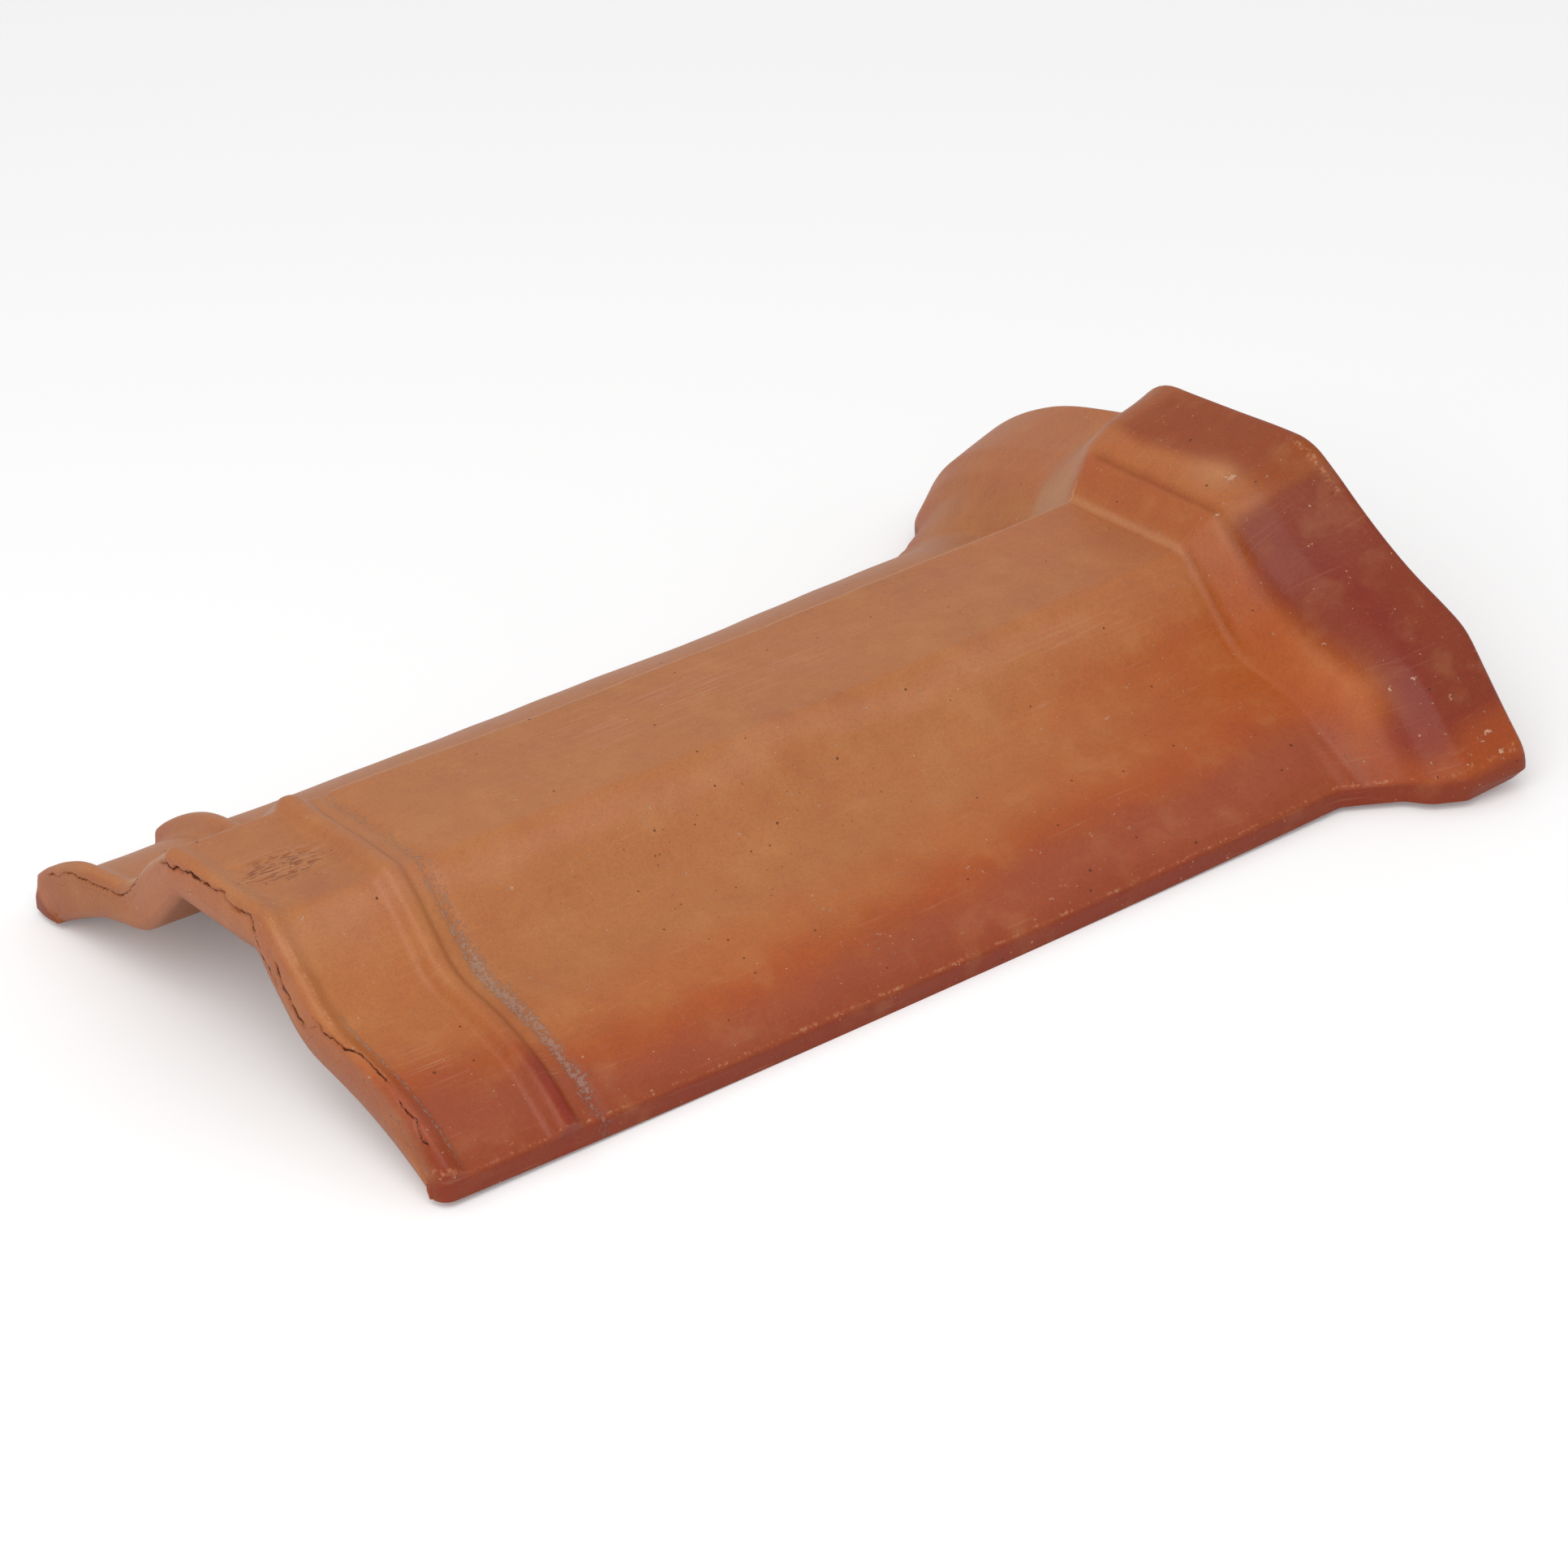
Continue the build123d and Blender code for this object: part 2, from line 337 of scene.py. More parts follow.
# coordinates on the surface in mm: U along the tile and down round its ends, V across it
turned = np.arcsin(np.clip(1 - X / LIP_FRONT, 0, 1))
wall = abs(outer[0] - inner[0])
U = np.concatenate([
    np.where(X < LIP_FRONT, LIP_FRONT * (1 - turned), X),
    TILE + fill * wall,
    IX[::-1],
    LIP_FRONT * (1 - math.pi / 2) - (1 - fill) * wall,
])
V = np.tile(across, (count, 1))
row_number = np.arange(count)
on_top = ((row_number < len(rows)) | (row_number >= count - END_ROWS)).astype(float)
on_top = np.repeat(on_top, width).reshape(count, width)

# drying cracks along the spigot's end: pairs of a place across the tile and one along it, then
# how far each one gapes
CRACKS = [
    [(33, -0.8), (24, -3.4), (15, -1.3), (5, -1.2), (-1, -1.4), (-6, -0.3), (-7, -1.9), (-15, -2.9),
     (-20, -1.2), (-23, -4.2), (-25.5, -6.0)],
    [(-28, -8.3), (-31, -10.4), (-39, -10.4), (-43, -11.2)],
    [(-40, -4.5), (-43, -5.8), (-50, -6.9), (-54, -7.5), (-61, -6.9)],
    [(-63, -1.3), (-69, -0.3), (-76, 1.0), (-80, 2.0), (-85, 3.6), (-90, 3.4), (-94, 2.8), (-96, 2.9)],
    [(-104, 2.6), (-108, 2.0), (-113, 2.6), (-118, 1.5), (-121, 1.8)],
    [(118, -0.4), (106, -0.8), (82, -2.7), (69, -3.0), (59, -1.0), (46, 2.6), (38, 3.1)],
]
BREADTH = [0.7, 0.5, 1.1, 0.7, 0.5, 0.3]


def crack_distance(u, v):
    """Signed distance in mm from the nearest crack along the tile, divided by the crack's breadth
    and larger past its ends; each crack is a run of straight lines with a fine ripple."""
    nearest = np.full(u.shape, 9.0)
    for number, points in enumerate(CRACKS):
        place, depth = np.array(sorted(points)).T
        line = np.interp(v, place, depth) + 0.5 * ripple(v, 0 * v, 6, 40 + number)
        line = line + 0.3 * ripple(v, 0 * v, 2.4, 50 + number)
        beyond = np.maximum(np.maximum(place[0] - v, v - place[-1]), 0)
        distance = ((u - line) + np.sign(u - line + 1e-9) * 2 * beyond) / BREADTH[number]
        nearest = np.where(abs(distance) < abs(nearest), distance, nearest)
    return nearest


def blob(at_u, at_v, wide, tall):
    """Soft patch, a bell curve that is 1 in its middle: wide along the tile, tall across it."""
    return np.exp(-((U - at_u) / wide) ** 2 - ((V - at_v) / tall) ** 2)


def band(at_u, soft):
    """Soft line across the whole tile, a bell curve that is 1 at a place along it."""
    return np.exp(-((U - at_u) / soft) ** 2)


def between(value, low, high, soft):
    """1 between two limits, with edges that fade over twice the soft distance."""
    return smooth(low - soft, low + soft, value) * (1 - smooth(high - soft, high + soft, value))


# fine shapes cut into the surface along its own normal: cracks, then the creases behind the rib
# and along the collar's valley and step, dents in the crown's corner, and the nibbled edge
crack = crack_distance(U, V)
carve = 1.3 * np.exp(-(crack / 0.6) ** 2) * on_top * (0.6 + 0.4 * ripple(V, U, 9, 31))
carve += 0.25 * band(51.0, 1.5) * between(V, -105, 30, 8) * on_top
carve += 1.0 * band(VALLEY_AT + 0.4, 1.1) * between(V, -46, 26, 4) * on_top
carve += 0.5 * band(VALLEY_AT + 0.6, 1.6) * between(V, -96, -40, 5) * on_top
carve += 0.9 * band(STEP_AT + 0.6, 1.3) * between(V, -66, -30, 4) * on_top
carve += 0.35 * band(STEP_AT + 0.4, 0.9) * between(V, -32, 28, 3) * on_top
carve += 0.6 * band(STEP_AT - 3.0 - 0.06 * (V + 110), 1.8) * between(V, -132, -104, 5) * on_top
carve += 0.7 * blob(397.5, -26.5, 4.5, 4.0) + 0.4 * blob(1.5, -28, 4.0, 6.0)
carve += 0.7 * smooth(0.35, 1.1, ripple(U, V, 9, 33)) * between(abs(V), 127, 134, 2) * on_top

# gouges on the spigot's crown: place along and across, length, breadth and depth
GOUGES = [
    (33, 0.5, 3.0, 0.9, 0.7), (25, 1.5, 3.5, 0.8, 0.5), (11.5, 4.5, 2.6, 1.4, 0.9),
    (19, 3, 3.4, 0.9, 0.4), (30, -11.5, 4.0, 0.7, 0.5), (22, -9.5, 2.6, 0.8, 0.4),
    (36, -2.5, 2.0, 0.8, 0.4),
]
for at_u, at_v, wide, tall, deep in GOUGES:
    carve += deep * blob(at_u, at_v, wide, tall) * on_top

# normals come from each point's neighbours on the grid; the edge faces and feet stay uncut
along_rows = np.roll(grid, -1, axis=0) - np.roll(grid, 1, axis=0)
along_columns = np.gradient(grid, axis=1)
normal = np.cross(along_rows, along_columns)
normal /= np.maximum(np.linalg.norm(normal, axis=-1, keepdims=True), 1e-12)
normal *= np.sign(normal[len(rows) // 2, width // 2, 2])
carve *= 1 - smooth(4.9, 5.9, share)
grid = grid - normal * carve[..., None] / 1000

# four-sided faces between neighbours, closed into a ring along the rows
index = np.arange(count * width).reshape(count, width)
after = np.roll(index, -1, axis=0)
faces = np.stack([index[:, :-1], after[:, :-1], after[:, 1:], index[:, 1:]], -1).reshape(-1, 4).tolist()

# the two feet close the ring underneath: each inner row faces several outer rows
outer_count, inner_count = len(rows), len(inner_rows)
inner_start = outer_count + END_ROWS
for column in (0, width - 1):
    for j in range(inner_count - 1):
        upper = [index[k, column] for k in range(j * INNER_STEP, (j + 1) * INNER_STEP + 1)]
        first = inner_start + inner_count - 1 - j
        lower = [index[first - 1, column], index[first, column]]
        if j == inner_count - 2:
            upper += [index[outer_count + k, column] for k in range(END_ROWS)]
        if j == 0:
            lower += [index[inner_start + inner_count + k, column] for k in range(END_ROWS)]
        loop = [int(k) for k in upper + lower]
        faces.append(loop if column == 0 else loop[::-1])

mesh = bpy.data.meshes.new("clay_skin")
mesh.from_pydata(grid.reshape(-1, 3).tolist(), [], faces)
mesh.update()
skin = bpy.data.objects.new("clay_skin", mesh)
bpy.context.scene.collection.objects.link(skin)
mesh.shade_smooth()
mesh.set_sharp_from_angle(angle=math.radians(50))
corners = np.zeros(len(mesh.loops), np.int64)
mesh.loops.foreach_get("vertex_index", corners)
layer = mesh.uv_layers.new(name="along_across")
layer.data.foreach_set("uv", (np.stack([U.ravel(), V.ravel()], -1)[corners] / 1000).ravel())


def linear(code):
    """Linear colour with alpha from an sRGB hex code."""
    parts = [int(code[i:i + 2], 16) / 255 for i in (1, 3, 5)]
    return [c / 12.92 if c <= 0.04045 else ((c + 0.055) / 1.055) ** 2.4 for c in parts] + [1.0]


# Kiln colours, painted zone by zone over the clay's tan; the flame reddened the near wing and
# burnt the hood. Some zones are painted light instead: painted highlights, a painted reflection
# on the far shoulder and painted shade in creases and on the edge face. The last channel holds
# how far a zone is glazed over by the heat.
paint = np.zeros((count, width, 4)) + np.array(linear("#B1744E")) * [1, 1, 1, 0]


def tint(code, amount, gloss=0.0):
    """Mixes a colour and its gloss into the painted zones by the amount at each vertex."""
    amount = np.clip(amount, 0, 1)[..., None]
    paint[:] = paint * (1 - amount) + np.array(linear(code)[:3] + [gloss]) * amount


drift = 3.5 * ripple(U, V, 90, 11) + 1.5 * ripple(U, V, 28, 12)
near_v = -V + drift
brink = np.interp(U, [0, 30, 70, 160, 240, 330], [88, 92, 103, 103, 94, 94])

# the body: a paler far shoulder that is a painted reflection, a painted highlight just below the
# near crown corner, and redder towards the collar and down the near wing
# painted reflection: the far shoulder paler and greyer
tint("#B78B6C", 0.55 * between(V, 29, 62, 4))
tint("#B1683F", 0.55 * smooth(300, 372, U) * between(V, -100, 30, 16))
# painted highlight: a pale band just below the near crown corner
tint("#B97E60", 0.45 * between(near_v, 30, 40, 4))
tint("#B06A44", 0.75 * smooth(brink - 26, brink - 8, near_v))
tint("#AB5B38", 0.7 * smooth(230, 345, U) * between(near_v, 48, 112, 9))

# the flash on the near wing, from orange to a burnt violet brown, and a weaker one far down
tint("#A75839", 0.85 * smooth(brink - 9, brink + 8, near_v))
tint("#9C5641", 0.95 * smooth(brink + 2, brink + 20, near_v), 0.4)
tint("#934D38", 0.7 * smooth(118, 130, near_v), 0.3)
tint("#A2532F", 0.8 * smooth(357, 366, U) * smooth(92, 104, near_v))
tint("#A85B3B", 0.8 * smooth(108, 128, V + drift))

# the collar: its ramp, the hood burnt dark on the crown and the near side, tan between them
tint("#AA6040", 0.75 * between(U, 362, 371, 2) * between(V, -60, 30, 6))
hood = smooth(377, 385, U + 0.6 * drift)
tint("#934E36", 0.95 * hood * between(V, -30, 27, 7), 0.4)
side_hood = smooth(368.5, 375, U + 0.4 * drift) * between(near_v, 29, 122, 6)
tint("#86442F", 0.95 * side_hood, 0.45)
burnt = np.interp(V, [-125, -112, -95, -74, -55, -30], [378, 381, 386, 391, 385, 386])
tint("#84402C", 0.85 * band(burnt + 0.8 * drift, 4.6) * between(V, -120, -44, 8), 0.4)
tint("#8A4636", 0.35 * blob(379, -58, 6, 13) + 0.3 * blob(402, -88, 7, 24), 0.5)
tint("#B97D58", 0.95 * blob(381.5, -17, 5.5, 10))
tint("#B46640", 0.85 * blob(369.5, -98, 6, 13))
tint("#8B4230", 0.8 * blob(376, -118, 6, 7), 0.3)
tint("#B0653E", 0.7 * blob(390, -134, 10, 4))

# evener tan on the spigot and before the collar, and the collar's far side
tint("#AE724E", 0.6 * (1 - smooth(40, 56, U)) * between(V, -28, 28, 3))
tint("#B27049", 0.6 * (1 - smooth(40, 60, U)) * between(near_v, 48, 80, 8))
tint("#B06E49", 0.6 * smooth(270, 330, U) * (1 - smooth(356, 362, U)) * between(V, -48, 28, 6))
tint("#B06E4B", 0.8 * smooth(366, 376, U) * between(V, 36, 96, 9))
tint("#AE6C4A", 0.7 * smooth(366, 376, U) * smooth(88, 108, V))

# the spigot: the rib's near foot, a painted highlight below the near crown corner, the end face and
# the burnt near corner
tint("#8B3E27", 0.85 * between(U, 43.5, 49.5, 1.8) * smooth(96, 110, -V))
# painted highlight: a pale patch below the near crown corner
tint("#B87C5E", 0.5 * blob(27, -38, 9, 10))
end = 1 - smooth(-1.5, 1.5, U)
tint("#A9694A", 0.8 * end)
tint("#9A634C", 0.6 * end * smooth(50, 90, -V))
tint("#A0623F", 0.8 * end * smooth(50, 90, V))
tint("#8C4630", 0.85 * blob(2.5, -127, 4.5, 9))
tint("#B86F48", 0.7 * blob(-8, -124, 3, 9) + 0.5 * blob(-5, 128, 5, 5))

# painted shade in the creases of the collar's valley and step, partly darker clay there too, and a
# painted highlight along the step's edge
# painted shade, partly darker clay: the valley's crease on the crown and down the near wing
tint("#8C4A31", 0.55 * band(VALLEY_AT + 0.3, 0.9) * between(V, -44, 25, 3))
tint("#96502F", 0.35 * band(VALLEY_AT + 0.5, 1.6) * between(V, -92, -42, 5))
# painted shade along the step's crease on the near shoulder
tint("#96502F", 0.45 * band(STEP_AT + 0.8, 1.1) * between(V, -64, -31, 4))
# painted highlight along the step's edge on the crown
tint("#C8946F", 0.45 * band(STEP_AT - 0.2, 0.8) * between(V, -28, 27, 3))
# the wing's edge face darker: partly dark clay, partly painted shade where it faces the floor
face = np.broadcast_to(smooth(5.15, 5.7, share), U.shape)
tint("#874430", 0.85 * face)
tint("#A0654A", 0.8 * (1 - on_top) * (1 - face))

# where grit sticks, edges have wear, chips are off, scuffs run and pits are thick; the lines
# along the far crown corner and along the lip's ridge are painted highlights kept with the wear.
# The edge's arris lies at tip_at across the tile
tip_at = reach_out[np.argmin(abs(half_share - 5.1))]
grit_line = 57.8 + 0.5 * ripple(V, U, 12, 51)
grit = band(grit_line, 3.0) * (0.5 + 0.5 * between(V, -122, -52, 12))
grit += 0.9 * band(9.0, 0.8) * between(V, -126, -62, 8)
grit += 0.5 * band(55.6, 0.5) * between(V, -95, -20, 8)
grit *= on_top * (V < 36)
# painted highlight along the far crown corner
wear_and_highlight = 1.0 * np.exp(-((V - 27.4) / 0.8) ** 2) * between(U, 60, 366, 12)
wear_and_highlight += 0.42 * np.exp(-((abs(V) - tip_at) / 1.0) ** 2) * (V < 0) * (U > -3)
wear_and_highlight += 0.6 * band(404.5, 1.6) * between(V, -52, -24, 6)
# painted highlight along the lip's ridge
wear_and_highlight += 0.55 * band(3.4, 1.3) * between(V, -70, -34, 6)
chips = blob(397, -124, 2, 1.4) + blob(398, -129, 1.4, 1) + 0.8 * blob(386, -127, 2, 1)
chips += blob(376, -103, 2, 1.4) + 0.9 * blob(383, -102, 1.1, 1.1) + 0.9 * blob(382.5, -23, 2.4, 2.4)
chips += 0.8 * blob(371.2, -28, 1.2, 1.2)
scuffs = blob(24, -2, 14, 9) + 0.7 * blob(21, -92, 7, 8) + 0.7 * blob(51, -108, 2, 6)
scuffs += 0.35 * blob(310, -38, 26, 5) + 0.5 * blob(180, 5, 60, 14)
pitted = 0.25 + 0.75 * blob(160, -62, 75, 26) + 1.7 * blob(23, -3, 16, 10) + 0.6 * blob(0, -100, 6, 30)
pitted += 0.5 * blob(-6, 60, 6, 60)
dimpled = blob(397.5, -26.5, 5, 4.5) + blob(2, -28, 5, 6)

# the satin surface adds a veil of white light, so the painted colours leave room for it
VEIL, SEEN_THROUGH = 0.034, 0.95
paint[..., :3] = np.clip((paint[..., :3] - VEIL) / SEEN_THROUGH, 0.004, 1)


def store(name, *fields):
    """Keeps up to four fields on the mesh's vertices as one attribute."""
    made = mesh.color_attributes.new(name=name, type="FLOAT_COLOR", domain="POINT")
    fields = list(fields) + [np.zeros_like(U)] * (4 - len(fields))
    made.data.foreach_set("color", np.stack(fields, -1).astype(np.float32).ravel())


store("kiln_and_light_colour", *np.moveaxis(paint, -1, 0))
store("marks", np.where(on_top > 0, crack, 9.0), grit, wear_and_highlight, chips)
store("wear", scuffs, pitted, dimpled, on_top)

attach(skin, "root")
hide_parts("ridge_tile")

# Fired clay: unglazed and fine-grained, satin on the pressed faces. The surface is made from the
# painted kiln colour with its painted highlights, reflection and shade, mottled at several
# scales, with grit, pits, specks, cracks and scuffs.
clay = bpy.data.materials.new("fired clay")
clay.use_nodes = True
tree = clay.node_tree
tree.nodes.clear()


def add_node(tree, kind, inputs=None, **settings):
    """Adds a node with its settings; inputs gives each socket a value or another node's output."""
    made = tree.nodes.new(kind)
    for name, value in settings.items():
        setattr(made, name, value)
    for name, value in (inputs or {}).items():
        if isinstance(value, bpy.types.NodeSocket):
            tree.links.new(value, made.inputs[name])
        else:
            made.inputs[name].default_value = value
    return made


def calc(operation, *values):
    """Result of a maths node."""
    return add_node(tree, "ShaderNodeMath", dict(enumerate(values)), operation=operation).outputs[0]


def rise(value, low, high):
    """0 below low, 1 above high, smooth between them."""
    inputs = {0: value, 1: low, 2: high}
    return add_node(tree, "ShaderNodeMapRange", inputs, interpolation_type="SMOOTHSTEP").outputs[0]


def noise(place, size, detail=2.0):
    """Cloudy noise around 0.5 with features of the given size in mm."""
    inputs = {"Vector": place, "Scale": 1 / size, "Detail": detail, "Roughness": 0.55}
    return add_node(tree, "ShaderNodeTexNoise", inputs).outputs[0]


def over(under, code, amount):
    """Lays a colour over another one."""
    inputs = {0: amount, 6: under, 7: linear(code)}
    return add_node(tree, "ShaderNodeMix", inputs, data_type="RGBA").outputs[2]


def stored(name):
    """Channels of an attribute of the mesh."""
    made = add_node(tree, "ShaderNodeAttribute", attribute_name=name)
    split = add_node(tree, "ShaderNodeSeparateColor", {"Color": made.outputs["Color"]})
    return made.outputs["Color"], *list(split.outputs)[:3], made.outputs["Alpha"]


def dots(place, cell, radius, share_kept):
    """Scattered round dots of up to the radius in mm; one cell in so many holds a dot."""
    made = add_node(tree, "ShaderNodeTexVoronoi", {"Vector": place, "Scale": 1 / cell})
    pick = add_node(tree, "ShaderNodeSeparateColor", {"Color": made.outputs["Color"]})
    reach = calc("MULTIPLY", pick.outputs[1], radius / cell)
    inside = calc("SUBTRACT", 1, rise(calc("DIVIDE", made.outputs["Distance"], reach), 0.55, 1.0))
    return calc("MULTIPLY", inside, calc("LESS_THAN", pick.outputs[0], share_kept))


def stretched(length):
    """Surface coordinates in mm, squeezed along the tile so that spots become strokes so long."""
    inputs = {0: flat, 1: (1000 / length, 1000, 1)}
    return add_node(tree, "ShaderNodeVectorMath", inputs, operation="MULTIPLY").outputs[0]


# sizes of the patterns in mm; the clay's own grain is nearer 0.1 mm, which is too fine to show,
# so it is drawn at 0.42
BROAD, CLOUD, MOTTLE, FINE, GRAIN = 55, 16, 4.5, 1.3, 0.42
DRAG_LENGTH, NICK_LENGTH, DIMPLE = 24, 5, 1.1
solid = add_node(tree, "ShaderNodeTexCoord").outputs["Object"]
solid = add_node(
    tree, "ShaderNodeVectorMath", {0: solid, "Scale": 1000}, operation="SCALE",
).outputs[0]
flat = add_node(tree, "ShaderNodeUVMap", uv_map="along_across").outputs[0]
kiln_and_light, _, _, _, gloss = stored("kiln_and_light_colour")
_, crack_at, gritty, wear_and_highlight_at, chip_at = stored("marks")
_, scuff_at, pit_at, dimple_at, outside = stored("wear")

broad, cloud, mottle = noise(solid, BROAD, 2), noise(solid, CLOUD, 3), noise(solid, MOTTLE, 3)
fine, grain = noise(solid, FINE, 2), noise(solid, GRAIN, 1)
strokes = noise(stretched(DRAG_LENGTH), 1.1, 2)
nicks = noise(stretched(NICK_LENGTH), 1.0, 2)
edge = calc("MULTIPLY", calc("SUBTRACT", mottle, 0.5), 0.9)
edge = calc("MULTIPLY_ADD", calc("SUBTRACT", fine, 0.5), 1.3, edge)


def torn(amount, spread, low, high):
    """The amount with a torn edge: where it and the noise together rise above the limits."""
    return rise(calc("MULTIPLY_ADD", edge, spread, amount), low, high)


value = calc("MULTIPLY_ADD", calc("SUBTRACT", broad, 0.5), 0.18, 1.0)
for layer_of, strength in ((cloud, 0.12), (mottle, 0.14), (fine, 0.28), (grain, 0.40)):
    value = calc("MULTIPLY_ADD", calc("SUBTRACT", layer_of, 0.5), strength, value)
hue = calc("MULTIPLY_ADD", calc("SUBTRACT", cloud, 0.5), 0.014, 0.5)
body = add_node(
    tree, "ShaderNodeHueSaturation", {"Hue": hue, "Saturation": 1.0, "Value": value, "Color": kiln_and_light},
).outputs[0]

# clouds and strokes of the pressing, then scuffs, edge wear with the painted highlights along the
# far crown corner and the lip's ridge, chips and grit, from broad to fine
body = over(body, "#C1865E", calc("MULTIPLY", rise(cloud, 0.52, 0.72), 0.12))
body = over(body, "#97502F", calc("MULTIPLY", rise(calc("ADD", cloud, broad), 0.9, 0.66), 0.16))
matt = calc("MULTIPLY_ADD", gloss, -0.14, 0.14)
body = over(body, "#C6946F", calc("MULTIPLY", rise(strokes, 0.60, 0.76), matt))
body = over(body, "#D0A384", calc("MULTIPLY", rise(strokes, 0.50, 0.62), calc("MULTIPLY", scuff_at, 0.30)))
wear_and_highlight_torn = torn(wear_and_highlight_at, 0.8, 0.35, 0.8)
body = over(body, "#C5865C", calc("MULTIPLY", wear_and_highlight_torn, 0.7))
chipped = torn(chip_at, 2.2, 0.7, 0.85)
body = over(body, "#C9987A", calc("MULTIPLY", chipped, 0.75))
crumbs = calc("SUBTRACT", calc("MULTIPLY_ADD", grain, 0.6, fine), 0.8)
gritted = rise(calc("MULTIPLY_ADD", crumbs, 2.6, gritty), 0.5, 1.0)
body = over(body, "#94837A", calc("MULTIPLY", gritted, 0.55))

# specks of lime, pits and gouges, then the cracks with the stain beside them
pale = calc("MULTIPLY", dots(solid, 2.4, 0.27, 0.24), outside)
body = over(body, "#DCC3AC", calc("MULTIPLY", pale, 0.8))
small_pits = calc("MULTIPLY", dots(solid, 2.2, 0.5, 0.35), rise(pit_at, 0.3, 1.2))
pits = calc("MAXIMUM", dots(solid, 4.4, 0.62, 0.2), small_pits)
pits = calc("MULTIPLY", pits, outside)
body = over(body, "#64301B", calc("MULTIPLY", pits, 0.8))
gouge_at = calc("MULTIPLY", rise(nicks, 0.54, 0.62), rise(pit_at, 0.85, 1.5))
body = over(body, "#8A4424", calc("MULTIPLY", gouge_at, 0.75))
ragged = calc("MULTIPLY_ADD", edge, 1.1, crack_at)
opening = calc("MULTIPLY_ADD", mottle, 4.4, -1.95)
cracked = calc("SUBTRACT", 1, rise(calc("ABSOLUTE", ragged), 0.08, calc("MAXIMUM", opening, 0.11)))
stain = calc("SUBTRACT", 1, rise(calc("ABSOLUTE", ragged), 0.3, 2.0))
body = over(body, "#9A532F", calc("MULTIPLY", stain, 0.4))
body = over(body, "#542310", calc("MULTIPLY", cracked, 0.88))

# the same marks as relief, in mm; cracks and pits go in, grit stands up
height = calc("MULTIPLY", fine, 0.10)
for layer_of, strength in (
    (grain, 0.05), (mottle, 0.20), (pits, -0.45), (cracked, -0.8), (gritted, 0.16), (chipped, -0.2),
    (gouge_at, -0.3), (strokes, 0.03), (pale, 0.08),
):
    height = calc("MULTIPLY_ADD", layer_of, strength, height)
dimple_grid = {"Vector": flat, "Scale": 1000 / DIMPLE, "Randomness": 0.25}
dimples = add_node(tree, "ShaderNodeTexVoronoi", dimple_grid).outputs["Distance"]
height = calc("MULTIPLY_ADD", calc("MULTIPLY", dimples, dimple_at), 0.25, height)
bump = add_node(tree, "ShaderNodeBump", {"Height": height, "Strength": 1.0, "Distance": 0.001})
rough = calc("MULTIPLY_ADD", cloud, 0.16, 0.38)
rough = calc("MULTIPLY_ADD", gloss, -0.08, rough)
rough = calc("MULTIPLY_ADD", calc("MAXIMUM", gritted, cracked), 0.35, rough)
surface = add_node(
    tree, "ShaderNodeBsdfPrincipled",
    {"Base Color": body, "Roughness": rough, "Normal": bump.outputs[0], "IOR": 1.5,
     "Specular IOR Level": 0.36},
)
add_node(tree, "ShaderNodeOutputMaterial", {"Surface": surface.outputs[0]})
mesh.materials.append(clay)

# Floor and backdrop: plain white paper, lit by a soft studio light from above and the left. The
# camera alone sees the paper a little brighter than it is, so that it comes out nearly white.
FLOOR = 4.0
floor_mesh = bpy.data.meshes.new("floor")
floor_mesh.from_pydata(
    [(-FLOOR, -FLOOR, 0), (FLOOR, -FLOOR, 0), (FLOOR, FLOOR, 0), (-FLOOR, FLOOR, 0)], [], [(0, 1, 2, 3)],
)
floor = bpy.data.objects.new("floor", floor_mesh)
bpy.context.scene.collection.objects.link(floor)
paper = bpy.data.materials.new("white paper")
paper.use_nodes = True
sheet = paper.node_tree
sheet.nodes.clear()
dull = add_node(sheet, "ShaderNodeBsdfDiffuse", {"Color": linear("#F6F6F6")})
seen = add_node(sheet, "ShaderNodeLightPath").outputs["Is Camera Ray"]
lift = add_node(sheet, "ShaderNodeMath", {0: seen, 1: 0.13}, operation="MULTIPLY")
shine = add_node(sheet, "ShaderNodeEmission", {"Strength": lift.outputs[0]})
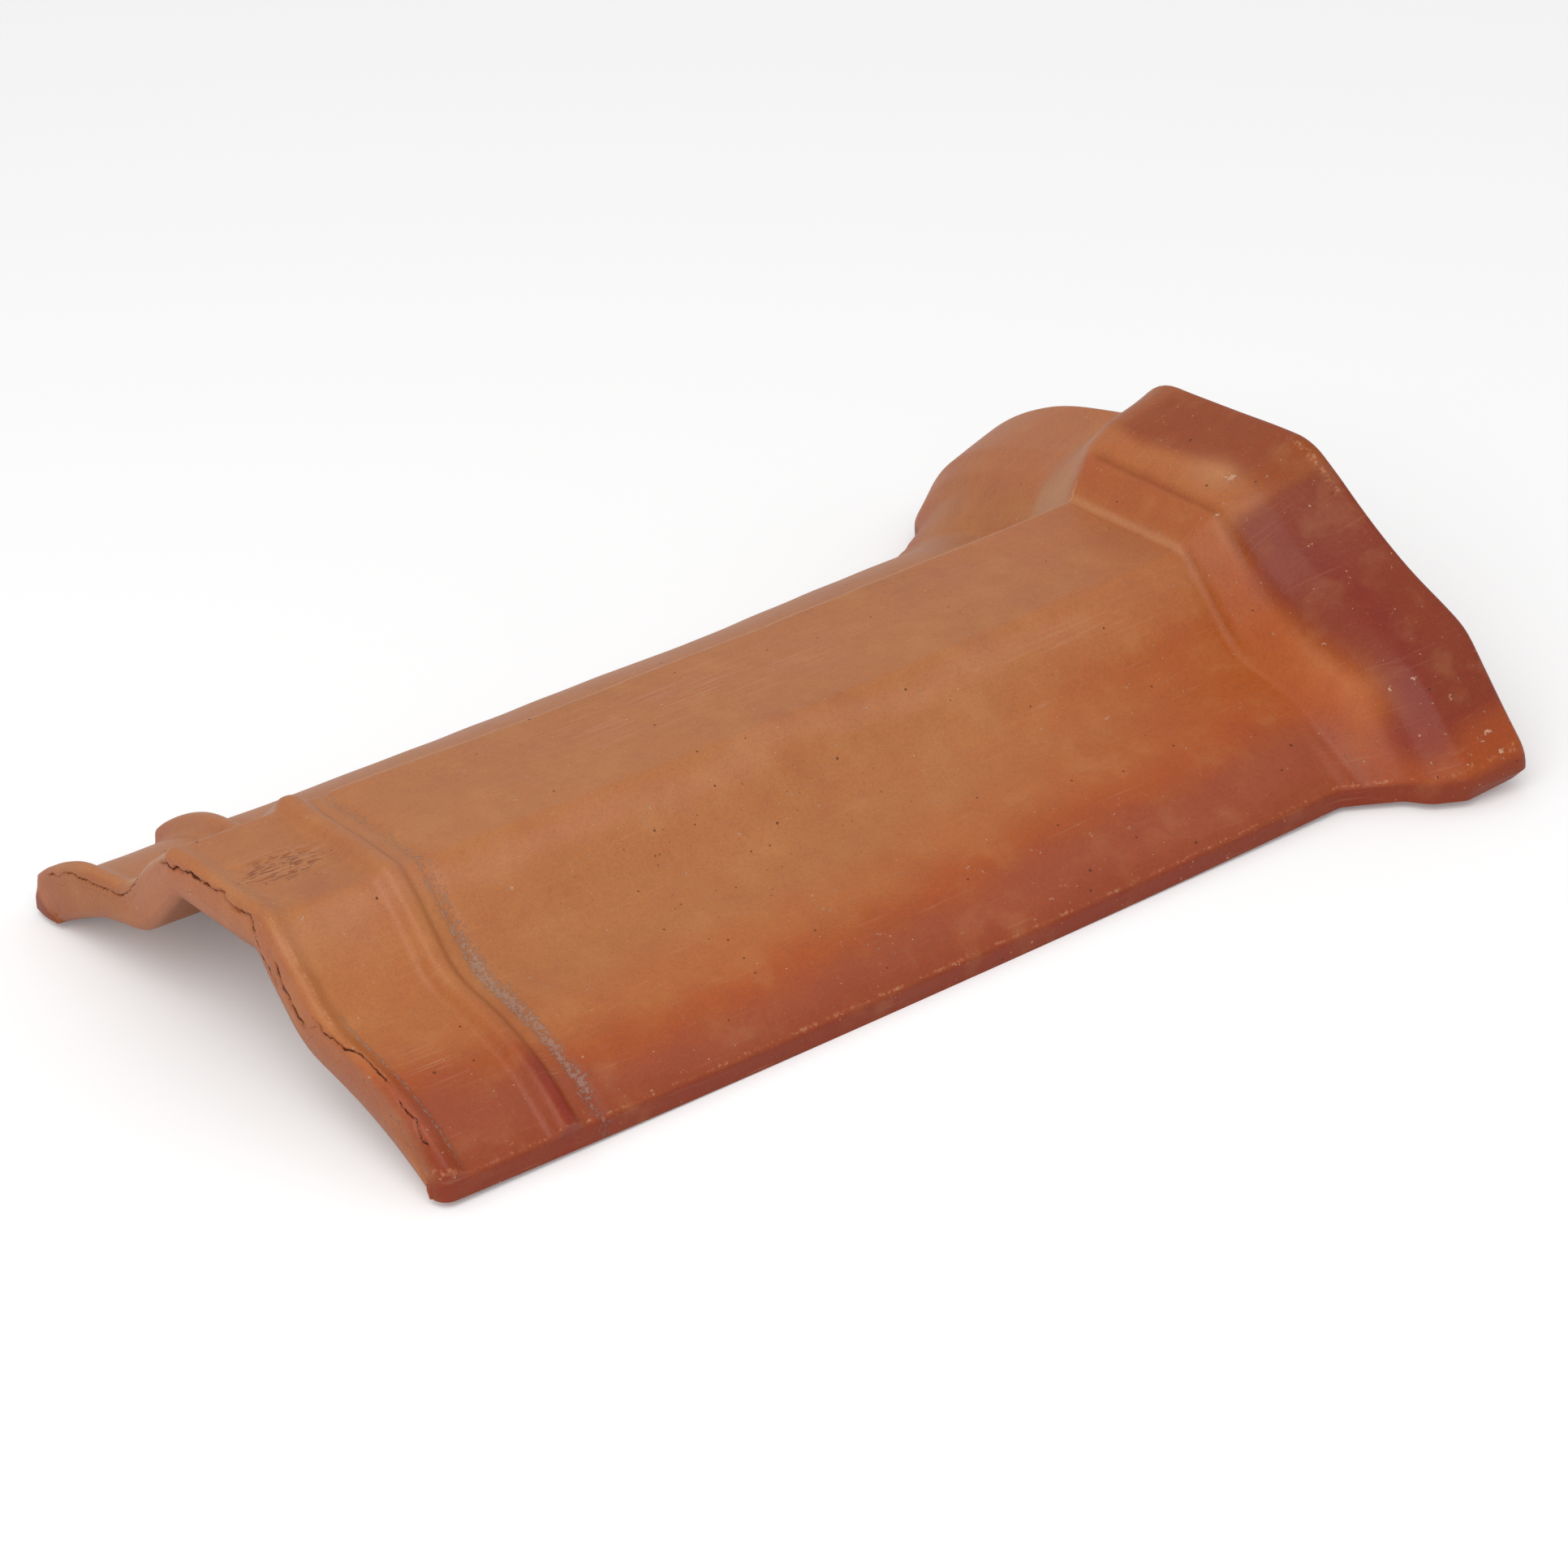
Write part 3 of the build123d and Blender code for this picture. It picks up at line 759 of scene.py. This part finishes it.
both = add_node(sheet, "ShaderNodeAddShader", {0: dull.outputs[0], 1: shine.outputs[0]})
add_node(sheet, "ShaderNodeOutputMaterial", {"Surface": both.outputs[0]})
floor_mesh.materials.append(paper)

world = bpy.data.worlds.new("studio")
bpy.context.scene.world = world
world.use_nodes = True
sky = world.node_tree
sky.nodes.clear()
path = add_node(sky, "ShaderNodeLightPath")
glow = add_node(sky, "ShaderNodeBackground", {"Color": (1, 1, 1, 1), "Strength": 0.68})
white = add_node(sky, "ShaderNodeBackground", {"Color": (1, 1, 1, 1), "Strength": 1.0})
shown = {0: path.outputs["Is Camera Ray"], 1: glow.outputs[0], 2: white.outputs[0]}
mixed = add_node(sky, "ShaderNodeMixShader", shown)
add_node(sky, "ShaderNodeOutputWorld", {"Surface": mixed.outputs[0]})

SOFT_BOX = 1.7
LAMP_AT = Vector((-0.90, -0.78, 1.40))
soft_box = bpy.data.lights.new("soft box", "AREA")
soft_box.shape = "RECTANGLE"
soft_box.size = SOFT_BOX
soft_box.size_y = SOFT_BOX
soft_box.energy = 17
lamp = bpy.data.objects.new("soft box", soft_box)
lamp.matrix_world = Matrix.Translation(LAMP_AT) @ LAMP_AT.to_track_quat("Z", "Y").to_matrix().to_4x4()
bpy.context.scene.collection.objects.link(lamp)

# Camera: the photograph's viewing direction and distance, fitted to the tile's own straight
# edges. Place in metres, then heading from +Y, pitch and roll in degrees.
CAMERA_AT = (-0.8584, -1.1731, 0.8160)
HEADING, PITCH, ROLL = 36.48, -28.76, -2.73
view = bpy.data.cameras.new("camera")
view.lens = 118.2
view.sensor_width = 36
camera = bpy.data.objects.new("camera", view)
turn = Matrix.Rotation(math.radians(-HEADING), 4, "Z")
tip_down = Matrix.Rotation(math.radians(90 + PITCH), 4, "X")
roll = Matrix.Rotation(math.radians(ROLL), 4, "Z")
camera.matrix_world = Matrix.Translation(CAMERA_AT) @ turn @ tip_down @ roll
bpy.context.scene.collection.objects.link(camera)
bpy.context.scene.camera = camera
bpy.context.scene.view_settings.view_transform = "Standard"
